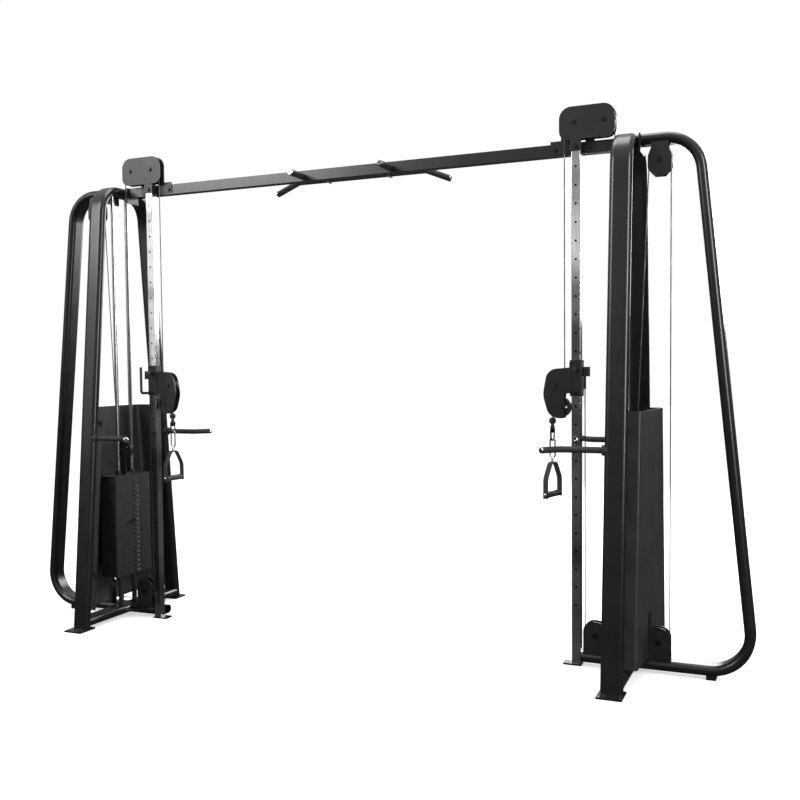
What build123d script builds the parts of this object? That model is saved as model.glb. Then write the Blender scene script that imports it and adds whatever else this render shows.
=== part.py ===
from build123d import *
import os
from math import asin, atan2, cos, degrees, hypot, radians, sin

os.makedirs("parts", exist_ok=True)

# A cable crossover machine: two weight-stack towers joined by a high beam.
# Millimetres. X runs along the beam, Y points to the back, Z is up, and the origin
# lies on the floor, midway between the towers. Each tower is drawn at +X first and
# mirrored for the left one.

# Frame tube: flat oval section, bent cold
TUBE_WIDE = 93
TUBE_THICK = 45
TUBE_WALL = 3
FRAME_TOP = 2300
TOWER_X = 1350
FRONT_FOOT_Y, FRONT_TOP_Y = -376, -164
REAR_FOOT_Y, REAR_TOP_Y = 393, 199
CREST_BEND = 125
LOOP_TOP_X, LOOP_FLOOR_X = 1636, 1874
LOOP_TOP_BEND, LOOP_BOTTOM_BEND = 150, 160
BASE_Z = 37.5
PLATE = 8

# Beam and guide rail
BEAM = 50
BEAM_END_X = 1325
RAIL_X, RAIL = 1130, 40
RAIL_WALL = 2.5
RAIL_HOLE_TOP, RAIL_PITCH, RAIL_HOLES = 2190, 80, 25
RAIL_HOLE_R = 5

# Cable plane, pulleys and side plates
CABLE_Y = -20
CABLE_R = 2.5
AXLE_R = 5
FIT = 0.05
BOLT_CLEARANCE = 0.2
SIDE_GAP = 32
SIDE = 4
FRONT_PLATE_Y = CABLE_Y - SIDE_GAP / 2 - SIDE
REAR_PLATE_Y = CABLE_Y + SIDE_GAP / 2
RIM, PITCH = 50, 45
SMALL_RIM, SMALL_PITCH = 45, 40
CROWN_Z = 2380
CROWN_INNER_X, CROWN_STACK_X = 1121, 1250
OUTER_X, OUTER_TOP_Z = 1484, 2186
BASE_INNER_X, BASE_PULLEY_Z = 1211, 137
CARRIAGE_UPPER = (1036, 1245)
CARRIAGE_LOWER = (1061, 1146)
STACK_PULLEY = (1340, 900)
HANG_X = CARRIAGE_LOWER[0] - SMALL_PITCH

# Carriage
SLEEVE_LOW, SLEEVE_HIGH = 1194, 1352
SLEEVE_WALL, SLEEVE_PLAY = 5.4, 0.6
PIN_Z = 1310
ANCHOR_X = BASE_INNER_X - PITCH
FERRULE_LOW = 1225

# Weight stack
STACK_X = 1340
WEIGHT_X, WEIGHT_Y = 105, 290
WEIGHT, WEIGHT_PITCH = 25.1, 25.4
STACK_LOW, WEIGHTS, LIFTED = 230, 20, 9
STACK_HIGH = STACK_LOW + WEIGHTS * WEIGHT_PITCH
HEAD = 30
GUIDE_R, GUIDE_OFFSET = 10, 55
STEM_R = 12
SELECTOR_R = 4.75

LEFT, RIGHT = "left", "right"

# Handle, hung in a plane turned about Z
HANDLE_TURN = {LEFT: 89, RIGHT: 78}
CLIP_Z = 998


def block(x, y, z):
    """Box from three (low, high) pairs."""
    size = [pair[1] - pair[0] for pair in (x, y, z)]
    middle = [(pair[0] + pair[1]) / 2 for pair in (x, y, z)]
    return Pos(*middle) * Box(*size)


def rod(start, end, radius):
    """Round bar between two points."""
    along = Vector(*end) - Vector(*start)
    plane = Plane(origin=start, z_dir=along)
    return extrude(plane * Circle(radius), amount=along.length)


def round_path(points, bend, radius):
    """Round bar along straight runs joined by arcs."""
    path = FilletPolyline(*points, radius=bend)
    return sweep(Plane(origin=path @ 0, z_dir=path % 0) * Circle(radius), path=path)


def flat_oval(points, bend, wide_side):
    """Flat oval tube along a bent path: its filled outer shape, and the tube."""
    path = FilletPolyline(*points, radius=bend)
    plane = Plane(origin=path @ 0, x_dir=wide_side, z_dir=path % 0)
    bore = (TUBE_WIDE - 2 * TUBE_WALL, TUBE_THICK - 2 * TUBE_WALL)
    outer = sweep(plane * SlotOverall(TUBE_WIDE, TUBE_THICK), path=path)
    inner = sweep(plane * SlotOverall(*bore), path=path)
    return outer, outer - inner


def upright(outline, y_front, thickness):
    """Plate parallel to XZ from an (x, z) sketch, with its front face at y_front."""
    plane = Plane(origin=(0, y_front, 0), x_dir=(1, 0, 0), z_dir=(0, -1, 0))
    return extrude(plane * outline, amount=-thickness)


def rounded(points, radii):
    """Closed outline with its corners rounded."""
    return make_face(FilletPolyline(*points, radius=radii, close=True))


def hexagon(centre, across, thickness):
    """Hexagonal bolt head or nut whose axis runs along Y from centre towards +Y."""
    plane = Plane(origin=centre, x_dir=(1, 0, 0), z_dir=(0, 1, 0))
    return extrude(plane * RegularPolygon(across / 2, 6, major_radius=False), amount=thickness)


def bolt(x, z, seat_y, grip, radius=AXLE_R, nut=True):
    """Bolt along Y with its washer against seat_y, and a nut behind the grip."""
    head = hexagon((x, seat_y - 8, z), 3.4 * radius, 6.5)
    washer = rod((x, seat_y - 1.5, z), (x, seat_y, z), 2 * radius)
    shank = rod((x, seat_y - 2, z), (x, seat_y + grip + 9, z), radius)
    piece = head + washer + shank
    if nut:
        piece += hexagon((x, seat_y + grip, z), 3.4 * radius, 8)
    return piece


def pulley(rim, pitch):
    """Grooved pulley about Y, centred on the origin."""
    hub, half_hub, half_rim, half_web = 12, 14, 10, 5
    profile = make_face(
        Polyline(
            (AXLE_R + FIT, -half_hub), (hub, -half_hub), (hub, -half_web),
            (rim - 14, -half_web), (rim - 11, -half_rim), (rim, -half_rim),
            (rim, half_rim), (rim - 11, half_rim), (rim - 14, half_web),
            (hub, half_web), (hub, half_hub), (AXLE_R + FIT, half_hub),
            close=True,
        )
    )
    groove = CABLE_R + 0.5
    mouth = Polyline((pitch, -groove), (rim + 1, -7), (rim + 1, 7), (pitch, groove), close=True)
    profile -= Pos(pitch, 0) * Circle(groove) + make_face(mouth)
    wheel = revolve(profile, Axis.Y)
    hole_radius = (hub + rim - 14) / 2
    for step in range(5):
        angle = radians(72 * step)
        x, z = hole_radius * cos(angle), hole_radius * sin(angle)
        wheel -= rod((x, -20, z), (x, 20, z), 5)
    return wheel


def at(wheel, x, z):
    return Pos(x, CABLE_Y, z) * wheel


def axle_holes(plate, centres):
    for x, z in centres:
        plate -= rod((x, -100, z), (x, 100, z), AXLE_R + BOLT_CLEARANCE)
    return plate


def side_plates(outline, centres):
    """The two plates that hold pulleys between them, front and rear."""
    places = (FRONT_PLATE_Y, REAR_PLATE_Y)
    return [axle_holes(upright(outline, y, SIDE), centres) for y in places]


def front_leg_y(z):
    return FRONT_FOOT_Y + (FRONT_TOP_Y - FRONT_FOOT_Y) * z / FRAME_TOP


def rear_leg_y(z):
    return REAR_FOOT_Y + (REAR_TOP_Y - REAR_FOOT_Y) * z / FRAME_TOP


def loop_x(z):
    return LOOP_FLOOR_X + (LOOP_TOP_X - LOOP_FLOOR_X) * z / FRAME_TOP


def joined(shapes):
    return Compound([solid for shape in shapes for solid in shape.solids()])


def mirrored(shape):
    return mirror(shape, about=Plane.YZ)


def save(name, *shapes):
    export_step(joined(shapes), f"parts/{name}.step")


def save_both(name, *shapes):
    """One node that holds the pieces of both towers."""
    save(name, *shapes, *[mirrored(shape) for shape in shapes])


def save_sides(name, *shapes):
    """A node for each tower."""
    save(f"{RIGHT}_{name}", *shapes)
    save(f"{LEFT}_{name}", *[mirrored(shape) for shape in shapes])


# --- Frame tubes -----------------------------------------------------------------
crest_z = FRAME_TOP - TUBE_THICK / 2
below_plates = block((1000, 2000), (-600, 600), (-100, PLATE))

a_frame_solid, a_frame = flat_oval(
    [
        (TOWER_X, front_leg_y(-40), -40),
        (TOWER_X, front_leg_y(crest_z), crest_z),
        (TOWER_X, rear_leg_y(crest_z), crest_z),
        (TOWER_X, rear_leg_y(-40), -40),
    ],
    CREST_BEND,
    (1, 0, 0),
)
a_frame -= below_plates

loop_solid, loop = flat_oval(
    [
        (TOWER_X + 26, 0, crest_z),
        (loop_x(crest_z), 0, crest_z),
        (loop_x(BASE_Z), 0, BASE_Z),
        (RAIL_X - 25, 0, BASE_Z),
    ],
    [LOOP_TOP_BEND, LOOP_BOTTOM_BEND],
    (0, 1, 0),
)
rail_notch = block((RAIL_X - 40, RAIL_X + RAIL / 2), (-80, 0), (-10, 100))
loop_solid -= rail_notch
loop = loop - rail_notch - a_frame_solid

cross_tubes = []
for end_y in (FRONT_FOOT_Y, REAR_FOOT_Y):
    points = [(TOWER_X, 0, BASE_Z), (TOWER_X, end_y, BASE_Z)]
    path = Line(*points)
    plane = Plane(origin=path @ 0, x_dir=(1, 0, 0), z_dir=path % 0)
    bore = (TUBE_WIDE - 2 * TUBE_WALL, TUBE_THICK - 2 * TUBE_WALL)
    length = abs(end_y)
    outer = extrude(plane * SlotOverall(TUBE_WIDE, TUBE_THICK), amount=length)
    inner = extrude(plane * SlotOverall(*bore), amount=length)
    tube = (outer - inner) - loop_solid - a_frame_solid
    cross_tubes.append(max(tube.solids(), key=lambda solid: solid.volume))
cross_solid = block(
    (TOWER_X - TUBE_WIDE / 2, TOWER_X + TUBE_WIDE / 2),
    (FRONT_FOOT_Y, REAR_FOOT_Y),
    (BASE_Z - TUBE_THICK / 2, BASE_Z + TUBE_THICK / 2),
)

GUSSET = 70
gussets = []
for x_way in (-1, 1):
    for y_way in (-1, 1):
        corner = Vector(TOWER_X + x_way * 40, y_way * 40)
        outline = Polyline(
            (corner.X, corner.Y), (corner.X + x_way * GUSSET, corner.Y),
            (corner.X, corner.Y + y_way * GUSSET), close=True,
        )
        plate = extrude(Pos(0, 0, BASE_Z - 3) * make_face(outline), amount=6, dir=(0, 0, 1))
        gussets.append(plate - loop_solid - cross_solid)

save_sides("a_frame", a_frame)
save_sides("outer_loop", loop)
save_both("base_cross_tubes", *cross_tubes, *gussets)

# --- Feet ------------------------------------------------------------------------
FOOT_HALF, FOOT_BACK, FOOT_EDGE_Y = 52, 41, 448
ANCHOR_HOLE_R, ANCHOR_SPREAD, ANCHOR_INSET = 6, 34, 18
feet = []
for foot_y, outward in ((FRONT_FOOT_Y, -1), (REAR_FOOT_Y, 1)):
    ends = sorted((foot_y - outward * FOOT_BACK, outward * FOOT_EDGE_Y))
    foot = block((TOWER_X - FOOT_HALF, TOWER_X + FOOT_HALF), ends, (0, PLATE))
    for spread in (-ANCHOR_SPREAD, ANCHOR_SPREAD):
        place = (TOWER_X + spread, outward * (FOOT_EDGE_Y - ANCHOR_INSET))
        foot -= rod((*place, -1), (*place, PLATE + 1), ANCHOR_HOLE_R)
    feet.append(foot)
rail_foot = block((RAIL_X - 58, RAIL_X + 22), (-46, 6), (0, PLATE))
outer_pad = block((1680, 1720), (-40, 40), (0, 20)) - loop_solid
save_both("foot_plates", *feet, rail_foot, outer_pad)

# --- Beam, rail and their brackets -----------------------------------------------
beam_z = (FRAME_TOP - BEAM, FRAME_TOP)
beam = block((-BEAM_END_X, BEAM_END_X), (0, BEAM), beam_z)
beam -= block((-2000, 2000), (3, BEAM - 3), (beam_z[0] + 3, beam_z[1] - 3))
beam -= a_frame_solid
beam -= mirrored(a_frame_solid)
beam_middle_z = sum(beam_z) / 2
TONGUE_BOLTS_X = (1030, 1185)
for x in (*TONGUE_BOLTS_X, RAIL_X):
    for way in (-1, 1):
        beam -= rod((way * x, -1, beam_middle_z), (way * x, 4, beam_middle_z), 5.2)
save("top_beam", beam)

rail_ends = (RAIL_X - RAIL / 2, RAIL_X + RAIL / 2)
section = Pos(RAIL_X, -RAIL / 2) * RectangleRounded(RAIL, RAIL, 3)
section -= Pos(RAIL_X, -RAIL / 2) * Rectangle(RAIL - 2 * RAIL_WALL, RAIL - 2 * RAIL_WALL)
rail = extrude(Pos(0, 0, PLATE) * section, amount=FRAME_TOP - PLATE)
for step in range(RAIL_HOLES):
    z = RAIL_HOLE_TOP - RAIL_PITCH * step
    rail -= rod((RAIL_X, -RAIL - 1, z), (RAIL_X, -RAIL / 2, z), RAIL_HOLE_R)
CROSS_HOLE_Z, CROSS_HOLE_R = 1005, 8
rail -= rod((RAIL_X, -RAIL - 1, CROSS_HOLE_Z), (RAIL_X, 1, CROSS_HOLE_Z), CROSS_HOLE_R)
rail_bolt_z = beam_middle_z
rail -= rod((RAIL_X, -RAIL - 1, rail_bolt_z), (RAIL_X, 1, rail_bolt_z), 5.2)
save_both("guide_rails", rail)

clamp_low = 2256
rail_clamp = block((RAIL_X - 25, RAIL_X + 25), (-RAIL - 4, 0), (clamp_low, FRAME_TOP + 4))
rail_clamp -= block((rail_ends[0], rail_ends[1]), (-RAIL, 1), (clamp_low - 1, FRAME_TOP))
rail_clamp -= rod((RAIL_X, -60, rail_bolt_z), (RAIL_X, -30, rail_bolt_z), 5.2)

FLANGE_Z, FLANGE_HALF_Y = (2222, FRAME_TOP + 2), 54
beam_flange = block((TOWER_X - 58, TOWER_X - 50), (-10, 82), FLANGE_Z)
beam_flange -= a_frame_solid
beam_flange -= block((0, 2000), (0, BEAM), beam_z)
loop_flange = block((TOWER_X + 50, TOWER_X + 58), (-FLANGE_HALF_Y, FLANGE_HALF_Y), FLANGE_Z)
loop_flange = loop_flange - a_frame_solid - loop_solid

# --- Crown: two plates with the two high pulleys between them ----------------------
CROWN_X, CROWN_SPAN_Z = (1057, 1299), (2306, 2447)
crown_centres = [(CROWN_INNER_X, CROWN_Z), (CROWN_STACK_X, CROWN_Z)]
crown_outline = rounded(
    [
        (CROWN_X[0], CROWN_SPAN_Z[0]), (CROWN_X[1], CROWN_SPAN_Z[0]),
        (CROWN_X[1], CROWN_SPAN_Z[1]), (CROWN_X[0], CROWN_SPAN_Z[1]),
    ],
    [38, 38, 52, 52],
)
crown_front, crown_rear = side_plates(crown_outline, crown_centres)
tongue_low = beam_z[0] + 6
for centre_x in TONGUE_BOLTS_X:
    reach = (centre_x - 20, max(centre_x + 20, CROWN_X[0] + 40 * (centre_x < RAIL_X)))
    tongue = block(reach, (REAR_PLATE_Y, 0), (tongue_low, CROWN_SPAN_Z[0] + 40))
    tongue -= block((0, CROWN_X[0]), (-50, 50), (FRAME_TOP + 12, FRAME_TOP + 200))
    tongue -= rod((centre_x, -20, beam_middle_z), (centre_x, 10, beam_middle_z), 5.2)
    crown_rear += tongue
save_both("crown_housings", crown_front, crown_rear)

# --- Brackets of the outer top pulley and of the base pulleys ----------------------
outer_outline = rounded(
    [
        (OUTER_X - 36, 2290), (OUTER_X - 36, 2238), (OUTER_X - 49, 2205),
        (OUTER_X - 49, 2150), (OUTER_X - 22, 2120), (OUTER_X + 22, 2120),
        (OUTER_X + 49, 2150), (OUTER_X + 49, 2205), (OUTER_X + 36, 2238),
        (OUTER_X + 36, 2290),
    ],
    [3, 20, 20, 22, 14, 14, 22, 20, 20, 3],
)
outer_plates = side_plates(outer_outline, [(OUTER_X, OUTER_TOP_Z)])
base_plates = []
for centre_x in (BASE_INNER_X, OUTER_X):
    outline = rounded(
        [
            (centre_x - 50, 30), (centre_x + 50, 30), (centre_x + 50, 202),
            (centre_x - 50, 202),
        ],
        [3, 3, 44, 44],
    )
    base_plates += side_plates(outline, [(centre_x, BASE_PULLEY_Z)])
pulley_plates = [plate - loop_solid for plate in outer_plates + base_plates]
pulley_plates = [
    Compound([max(plate.solids(), key=lambda solid: solid.volume)]) for plate in pulley_plates
]

# --- Shroud: a bent sheet round the outer side of the stack ------------------------
SHROUD_Z, SHEET = (74, 1135), 2
SHROUD_FRONT_X, SHROUD_REAR_X = 1432, 1465
SHROUD_EDGE_X = (1352, 1372)
SHROUD_FRONT_Y, SHROUD_REAR_Y = -172, 254
FRONT_LEAN = (FRONT_TOP_Y - FRONT_FOOT_Y) / FRAME_TOP
REAR_LEAN = (REAR_TOP_Y - REAR_FOOT_Y) / FRAME_TOP


def shroud_front(z):
    """The shroud's edges lean as the legs do; the two Y values hold at its top."""
    return SHROUD_FRONT_Y + FRONT_LEAN * (z - SHROUD_Z[1])


def shroud_rear(z):
    return SHROUD_REAR_Y + REAR_LEAN * (z - SHROUD_Z[1])


def shroud_filled(inset, edge_x, heights):
    """Tapered block with the shroud's outline, its two outer corners rounded."""
    ends = []
    for z in heights:
        front, rear = shroud_front(z) + inset, shroud_rear(z) - inset
        outline = Polyline(
            (edge_x[0], front), (SHROUD_FRONT_X - inset, front),
            (SHROUD_REAR_X - inset, rear), (edge_x[1], rear), close=True,
        )
        ends.append(Pos(0, 0, z) * make_face(outline))
    filled = loft(ends, ruled=True)
    for way, bend in ((-1, 14), (1, 26)):
        corner = [
            edge for edge in filled.edges()
            if abs((edge @ 0).Z - (edge @ 1).Z) > 100
            and (edge @ 0.5).X > 1400 and (edge @ 0.5).Y * way > 0
        ]
        filled = fillet(corner, bend - inset)
    return filled


shroud_solid = shroud_filled(0, SHROUD_EDGE_X, SHROUD_Z)
hollow_z = (SHROUD_Z[0] - 20, SHROUD_Z[1] + 20)
shroud = shroud_solid - shroud_filled(SHEET, (1200, 1200), hollow_z)
NOTCH_Y, NOTCH_Z = (-52, 12), 262
shroud -= block((1400, 1500), NOTCH_Y, (0, NOTCH_Z))
save_sides("stack_shroud", shroud)

tabs = []
for z in (250, 1040):
    front_tab = block((1374, 1378), (front_leg_y(z), shroud_front(z) + 5), (z, z + 24))
    rear_tab = block((1378, 1382), (shroud_rear(z) - 5, rear_leg_y(z)), (z, z + 24))
    for tab in (front_tab, rear_tab):
        tab = tab - a_frame_solid - shroud_solid
        tabs.append(max(tab.solids(), key=lambda solid: solid.volume))
save_both("frame_brackets", rail_clamp, beam_flange, loop_flange, *pulley_plates, *tabs)

# --- Fasteners ---------------------------------------------------------------------
frame_bolts = [bolt(x, beam_middle_z, REAR_PLATE_Y, 7, nut=False) for x in TONGUE_BOLTS_X]
frame_bolts.append(bolt(RAIL_X, rail_bolt_z, -RAIL - 4, 38, nut=False))
save_both("frame_bolts", *frame_bolts)

axle_grip = SIDE_GAP + 2 * SIDE
axle_places = crown_centres + [
    (OUTER_X, OUTER_TOP_Z), (BASE_INNER_X, BASE_PULLEY_Z), (OUTER_X, BASE_PULLEY_Z)
]
save_both("pulley_axles", *[bolt(x, z, FRONT_PLATE_Y, axle_grip) for x, z in axle_places])

# --- Pulleys -------------------------------------------------------------------------
large, small = pulley(RIM, PITCH), pulley(SMALL_RIM, SMALL_PITCH)
save_sides("crown_inner_pulley", at(large, CROWN_INNER_X, CROWN_Z))
save_sides("crown_stack_pulley", at(large, CROWN_STACK_X, CROWN_Z))
save_sides("outer_top_pulley", at(large, OUTER_X, OUTER_TOP_Z))
save_sides("base_inner_pulley", at(large, BASE_INNER_X, BASE_PULLEY_Z))
save_sides("base_outer_pulley", at(large, OUTER_X, BASE_PULLEY_Z))
save_sides("stack_pulley", at(large, *STACK_PULLEY))
save_sides("carriage_upper_pulley", at(small, *CARRIAGE_UPPER))
save_sides("carriage_lower_pulley", at(small, *CARRIAGE_LOWER))

# --- Guide rods, bumpers and weights -------------------------------------------------
guide_ys = (CABLE_Y - GUIDE_OFFSET, CABLE_Y + GUIDE_OFFSET)
rods, bumpers = [], []
for y in guide_ys:
    guide = rod((STACK_X, y, 40), (STACK_X, y, 2290), GUIDE_R)
    guide = guide - a_frame_solid - loop_solid - cross_solid
    rods.append(max(guide.solids(), key=lambda solid: solid.volume))
    sleeve = rod((STACK_X, y, 40), (STACK_X, y, 195), 13.5)
    sleeve = sleeve - loop_solid - cross_solid - rod((STACK_X, y, 0), (STACK_X, y, 300), 10.2)
    cushion = rod((STACK_X, y, 195), (STACK_X, y, STACK_LOW), 20)
    cushion -= rod((STACK_X, y, 0), (STACK_X, y, 300), 10.2)
    bumpers += [max(sleeve.solids(), key=lambda solid: solid.volume), cushion]
save_both("guide_rods", *rods)
save_both("stack_bumpers", *bumpers)


def weight_plate(z, thickness, stem_hole):
    """Weight with guide holes, and a selector hole from the inner face."""
    outline = Pos(STACK_X, CABLE_Y) * RectangleRounded(WEIGHT_X, WEIGHT_Y, 6)
    plate = extrude(Pos(0, 0, z) * outline, amount=thickness)
    for y in guide_ys:
        plate -= rod((STACK_X, y, z - 1), (STACK_X, y, z + thickness + 1), GUIDE_R + 0.5)
    if stem_hole:
        plate -= rod((STACK_X, CABLE_Y, z - 1), (STACK_X, CABLE_Y, z + thickness + 1), STEM_R + 0.5)
        middle = z + thickness / 2
        drilled = ((STACK_X - 80, CABLE_Y, middle), (STACK_X + 18, CABLE_Y, middle))
        plate -= rod(*drilled, SELECTOR_R + 0.35)
    return plate


plates = [
    weight_plate(STACK_LOW + step * WEIGHT_PITCH, WEIGHT, True) for step in range(WEIGHTS)
]
save_both("resting_weights", *plates[: WEIGHTS - LIFTED])

yoke_x, yoke_z = (STACK_X - 22, STACK_X + 22), (STACK_HIGH + HEAD, STACK_PULLEY[1] + 24)
head = weight_plate(STACK_HIGH, HEAD, False)
head += rod((STACK_X, CABLE_Y, STACK_LOW + 8), (STACK_X, CABLE_Y, STACK_HIGH), STEM_R)
for step in range(WEIGHTS):
    z = STACK_LOW + step * WEIGHT_PITCH + WEIGHT / 2
    head -= rod((STACK_X - 20, CABLE_Y, z), (STACK_X + 20, CABLE_Y, z), SELECTOR_R + 0.35)
yoke_outline = rounded(
    [
        (yoke_x[0], yoke_z[0]), (yoke_x[1], yoke_z[0]), (yoke_x[1], yoke_z[1]),
        (yoke_x[0], yoke_z[1]),
    ],
    [1, 1, 20, 20],
)
for cheek in side_plates(yoke_outline, [STACK_PULLEY]):
    head += cheek
head += block(yoke_x, (FRONT_PLATE_Y, REAR_PLATE_Y + SIDE), (yoke_z[0], yoke_z[0] + 10))
for y in guide_ys:
    bush = rod((STACK_X, y, yoke_z[0]), (STACK_X, y, yoke_z[0] + 22), 15)
    head += bush - rod((STACK_X, y, 0), (STACK_X, y, 1000), GUIDE_R + 0.5)
stack_bolt = bolt(*STACK_PULLEY, FRONT_PLATE_Y, axle_grip)
save_sides("lifted_stack", head, *plates[WEIGHTS - LIFTED :], stack_bolt)

selector_z = STACK_LOW + (WEIGHTS - LIFTED) * WEIGHT_PITCH + WEIGHT / 2
face_x = STACK_X - WEIGHT_X / 2
selector = rod((STACK_X + 14, CABLE_Y, selector_z), (face_x - 4, CABLE_Y, selector_z), SELECTOR_R)
knob = rod((face_x - 3, CABLE_Y, selector_z), (face_x - 25, CABLE_Y, selector_z), 13)
selector += fillet(knob.edges().filter_by(GeomType.CIRCLE), 4)
save_sides("selector_pin", selector)

# --- Carriage on the rail ---------------------------------------------------------
inside = RAIL / 2 + SLEEVE_PLAY
outside = inside + SLEEVE_WALL
sleeve_y = (CABLE_Y - outside, CABLE_Y + outside)
carriage = block((RAIL_X - outside, RAIL_X + outside), sleeve_y, (SLEEVE_LOW, SLEEVE_HIGH))
carriage = fillet(carriage.edges().filter_by(Axis.Z), 4)
hollow = ((RAIL_X - inside, RAIL_X + inside), (CABLE_Y - inside, CABLE_Y + inside))
carriage -= block(*hollow, (SLEEVE_LOW - 1, SLEEVE_HIGH + 1))
carriage_centres = [CARRIAGE_UPPER, CARRIAGE_LOWER]
weld_x = RAIL_X - outside
cheek_outline = rounded(
    [
        (weld_x, 1320), (1002, 1312), (982, 1200), (1010, 1096), (1078, 1096),
        (1078, 1206), (weld_x, 1206),
    ],
    [2, 52, 110, 58, 8, 8, 2],
)
for cheek in side_plates(cheek_outline, carriage_centres):
    carriage += cheek
barrel_end = sleeve_y[0] - 16
carriage += rod((RAIL_X, sleeve_y[0] + 1, PIN_Z), (RAIL_X, barrel_end, PIN_Z), 9)
carriage -= rod((RAIL_X, CABLE_Y, PIN_Z), (RAIL_X, barrel_end - 1, PIN_Z), 4.6)
anchor = block((RAIL_X + outside - 1, RAIL_X + outside + 30), (-34, -6), (1280, 1322))
anchor += rod((ANCHOR_X, CABLE_Y, 1281), (ANCHOR_X, CABLE_Y, FERRULE_LOW), 5)
carriage += anchor
grab_y, grab_low, grab_high = sleeve_y[0] - 90, 1208, 1343
carriage += round_path(
    [(RAIL_X, sleeve_y[0] + 1, grab_low), (RAIL_X, grab_y, grab_low), (RAIL_X, grab_y, grab_high)],
    14,
    6.5,
)
cheek_bolts = [bolt(x, z, FRONT_PLATE_Y, axle_grip) for x, z in carriage_centres]
save_sides("carriage", carriage, *cheek_bolts)

pin = rod((RAIL_X, -RAIL - 0.8, PIN_Z), (RAIL_X, barrel_end - 4, PIN_Z), 4.5)
pin_knob = rod((RAIL_X, barrel_end - 2, PIN_Z), (RAIL_X, barrel_end - 28, PIN_Z), 13)
pin += fillet(pin_knob.edges().filter_by(GeomType.CIRCLE), 4)
save_sides("pull_pin", pin)

# --- Cables --------------------------------------------------------------------------


def cable(*pieces):
    """Cable from straight runs and arcs, drawn in XZ in the cable plane."""
    path = Wire(list(pieces)) if len(pieces) > 1 else Wire([pieces[0]])
    start = path @ 0
    return sweep(Plane(origin=start, z_dir=path % 0) * Circle(CABLE_R), path=path)


def spot(x, z):
    return Vector(x, CABLE_Y, z)


def arc(centre, radius, start_angle, turn):
    """Arc in the cable plane; angles in degrees from +X towards +Z."""
    def point(angle):
        a = radians(angle)
        return spot(centre[0] + radius * cos(a), centre[1] + radius * sin(a))
    return Edge.make_three_point_arc(
        point(start_angle), point(start_angle + turn / 2), point(start_angle + turn)
    )


def run(start, end):
    return Edge.make_line(Vector(*start), Vector(*end))


# The slanted run leaves the outer top pulley and meets the stack pulley's outer side.
slant_dx = (OUTER_X - PITCH) - (STACK_PULLEY[0] + PITCH)
slant_dz = OUTER_TOP_Z - STACK_PULLEY[1]
span = hypot(OUTER_X - STACK_PULLEY[0], slant_dz)
line_angle = degrees(atan2(slant_dz, OUTER_X - STACK_PULLEY[0]))
slant = 90 - (line_angle + degrees(asin(2 * PITCH / span)))
leave_angle = 180 - slant
meet_angle = -slant
print("slanted run leans", round(slant, 2), "degrees")

base_start = arc((BASE_INNER_X, BASE_PULLEY_Z), PITCH, 180, 90)
base_end = arc((OUTER_X, BASE_PULLEY_Z), PITCH, 270, 90)
over_top = arc((OUTER_X, OUTER_TOP_Z), PITCH, 0, leave_angle)
low_route = cable(
    base_start, run(base_start @ 1, base_end @ 0), base_end,
    run(base_end @ 1, over_top @ 0), over_top,
)
crown_first = arc((CROWN_STACK_X, CROWN_Z), PITCH, 0, 90)
crown_second = arc((CROWN_INNER_X, CROWN_Z), PITCH, 90, 90)
crown_route = cable(crown_first, run(crown_first @ 1, crown_second @ 0), crown_second)
save_both("fixed_cable_runs", low_route, crown_route)

under_stack = arc(STACK_PULLEY, PITCH, 180, 180 + meet_angle)
stack_cable = cable(
    run(crown_first @ 0, under_stack @ 0), under_stack, run(under_stack @ 1, over_top @ 1)
)
save_sides("stack_cable", stack_cable)

upper_x = CARRIAGE_UPPER[0] + SMALL_PITCH
save_sides("carriage_upper_cable", cable(run(crown_second @ 1, spot(upper_x, CARRIAGE_UPPER[1]))))
save_sides(
    "carriage_lower_cable", cable(run(spot(ANCHOR_X, FERRULE_LOW), base_start @ 0))
)

# Between the carriage pulleys the cable crosses from one side to the other.
dx = CARRIAGE_LOWER[0] - CARRIAGE_UPPER[0]
dz = CARRIAGE_LOWER[1] - CARRIAGE_UPPER[1]
centre_angle = degrees(atan2(dz, dx))
crossing = degrees(asin(2 * SMALL_PITCH / hypot(dx, dz)))
swing = -(90 + centre_angle - crossing)
print("cable turns", round(swing, 1), "degrees at the carriage pulleys")
BALL_TOP = 1100
wrap_upper = arc(CARRIAGE_UPPER, SMALL_PITCH, 0, -swing)
wrap_lower = arc(CARRIAGE_LOWER, SMALL_PITCH, 180 - swing, swing)
tail_cable = cable(
    wrap_upper, run(wrap_upper @ 1, wrap_lower @ 0), wrap_lower,
    run(wrap_lower @ 1, spot(HANG_X, BALL_TOP)),
)
save_sides("carriage_tail_cable", tail_cable)

# --- Hook and handle ------------------------------------------------------------------
GRIP_HALF, GRIP_R, GRIP_Z = 65, 15, 758
GRIP_AXLE_R, LINK_R, CLIP_R = 5, 3.5, 4
STRAP_WIDE, STRAP_THICK = 25, 3.5
STRAP_OUTLINE = [(70, 742), (69, 830), (22, 900)]
STRAP_SHOULDER_BEND, STRAP_CROWN_BEND = 60, 28
POST_R, POST_TOP = 6.5, 922


def hung(x, turn):
    """Frame for a piece hung at x: local X across, local Y up."""
    across = Vector(cos(radians(turn)), sin(radians(turn)), 0)
    normal = across.cross(Vector(0, 0, 1))
    return Plane(origin=(x, CABLE_Y, 0), x_dir=across, z_dir=normal)


def ring(frame, points, radii, bar):
    """Closed ring of round bar in a hung frame; the first point is mid-run."""
    flat = FilletPolyline(*points, radius=radii, close=True)
    path = Wire([frame.from_local_coords(edge) for edge in flat.edges()])
    return sweep(Plane(origin=path @ 0, z_dir=path % 0) * Circle(bar), path=path)


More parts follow.
